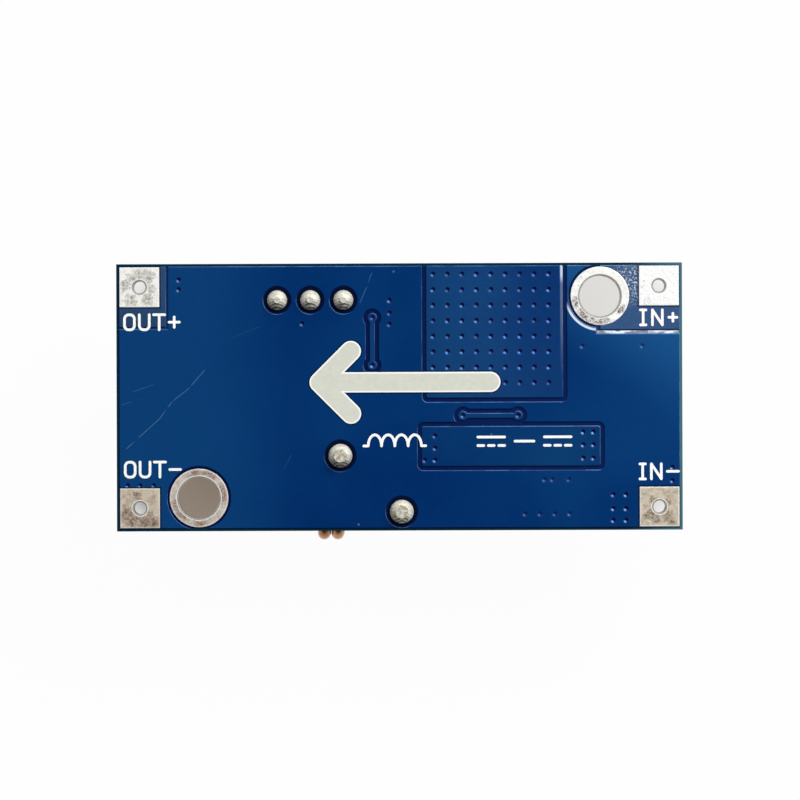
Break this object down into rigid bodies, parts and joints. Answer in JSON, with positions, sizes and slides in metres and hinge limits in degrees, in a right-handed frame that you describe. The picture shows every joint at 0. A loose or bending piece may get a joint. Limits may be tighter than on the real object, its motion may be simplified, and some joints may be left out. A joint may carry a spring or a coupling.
{
  "type": "buck converter module",
  "caption": "Small step-down converter board, solder side up: blue circuit board with printed arrow, over a toroidal inductor, regulator, can capacitors and a multi-turn trimmer.",
  "frame": {"origin": "middle of the module's footprint, on the surface that the tops of its two can capacitors stand on", "axes": "+X from the output end to the input end of the board, +Y across it to the trimmer's side, +Z out of the solder side"},
  "size_m": [0.0434, 0.0212, 0.0134],
  "materials": {
    "laminate": "cut edge of a blue-masked glass-fibre laminate",
    "solder_mask": "glossy deep blue solder mask over copper",
    "bare_tin": "dull, stained hot-air tin",
    "bright_tin": "bright tin",
    "solder": "shiny hand solder",
    "ink": "off-white screen-printed ink",
    "trimmer_blue": "moulded blue thermoset",
    "potting": "cast epoxy seal",
    "screw_brass": "turned brass",
    "core_paint": "yellow epoxy coating, white on one face, over pressed iron powder",
    "wire_enamel": "clear-enamelled copper wire",
    "black_moulding": "black moulding compound",
    "plated_leads": "matt tin plate",
    "capacitor_can": "drawn aluminium, satin",
    "brown_ceramic": "fired brown ceramic",
    "black_ceramic": "black overglaze on white ceramic"
  },
  "bodies": {
    "module": {"circuit_board": "laminate", "ground_copper": "solder_mask", "switch_copper": "solder_mask", "input_copper": "solder_mask", "output_copper": "solder_mask", "bridge_copper": "solder_mask", "regulator_link": "solder_mask", "trimmer_link": "solder_mask", "component_copper": "solder_mask", "component_lands": "bare_tin", "pad_in_positive": "bright_tin", "pad_in_negative": "bare_tin", "pad_out_positive": "bright_tin", "pad_out_negative": "bare_tin", "mounting_ring_in": "bright_tin", "mounting_ring_out": "bare_tin", "printed_arrow": "ink", "trimmer_housing": "trimmer_blue", "trimmer_potting": "potting", "trimmer_pin_1": "plated_leads", "trimmer_pin_2": "plated_leads", "trimmer_pin_3": "plated_leads", "inductor_core": "core_paint", "inductor_winding": "wire_enamel", "regulator_body": "black_moulding", "regulator_tab": "plated_leads", "regulator_lead_1": "plated_leads", "regulator_lead_2": "plated_leads", "regulator_lead_4": "plated_leads", "regulator_lead_5": "plated_leads", "input_capacitor_base": "black_moulding", "input_capacitor_can": "capacitor_can", "input_capacitor_lead_positive": "plated_leads", "input_capacitor_lead_negative": "plated_leads", "output_capacitor_base": "black_moulding", "output_capacitor_can": "capacitor_can", "output_capacitor_lead_positive": "plated_leads", "output_capacitor_lead_negative": "plated_leads", "diode_body": "black_moulding", "diode_lead_cathode": "plated_leads", "diode_lead_anode": "plated_leads", "input_chip_capacitor": "brown_ceramic", "input_chip_capacitor_ends": "plated_leads", "output_chip_capacitor": "brown_ceramic", "output_chip_capacitor_ends": "plated_leads", "compensation_capacitor": "brown_ceramic", "compensation_capacitor_ends": "plated_leads", "feedforward_capacitor": "brown_ceramic", "feedforward_capacitor_ends": "plated_leads", "feedback_resistor": "black_ceramic", "feedback_resistor_ends": "plated_leads", "trimmer_joint_1": "solder", "trimmer_joint_2": "solder", "trimmer_joint_3": "solder", "inductor_joint_inner": "solder", "inductor_joint_outer": "solder"},
    "adjuster": {"trimmer_screw": "screw_brass"}
  },
  "joints": [
    {"name": "screw_turn", "type": "hinge", "parent": "module", "child": "adjuster", "pos_m": [-0.00988, 0.00783, 0], "axis": [0, 0, 1], "continuous": true}
  ]
}
